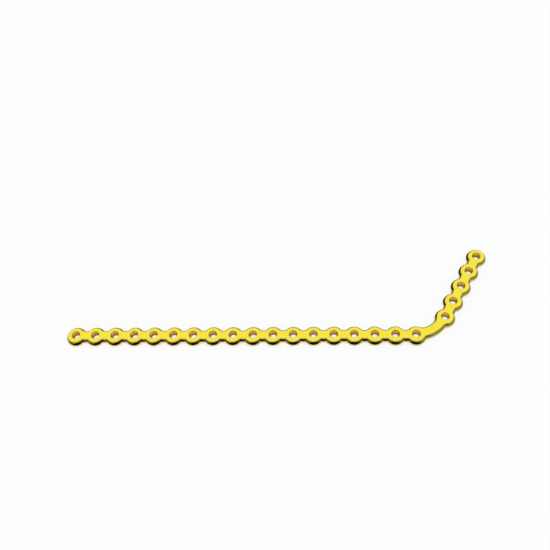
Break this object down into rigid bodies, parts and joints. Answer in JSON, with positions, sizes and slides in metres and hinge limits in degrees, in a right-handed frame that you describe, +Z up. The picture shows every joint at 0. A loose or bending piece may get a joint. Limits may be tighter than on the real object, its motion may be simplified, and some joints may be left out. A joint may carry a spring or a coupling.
{
  "type": "orthopedic bone plate",
  "caption": "Angled flat titanium plate with round eyelets, threaded countersunk screw holes and scalloped necks, bent between a long and a short arm.",
  "frame": {"origin": "on the axis of the long arm's last hole, next to the bend, at the underside", "axes": "-X along the long arm towards its free end, +Y to the side that the short arm turns to, +Z up out of the countersunk top"},
  "size_m": [0.1705, 0.0443, 0.0027],
  "materials": {
    "anodised_titanium": "gold anodised, polished"
  },
  "bodies": {
    "root": {"bone_plate": "anodised_titanium"}
  },
  "joints": []
}
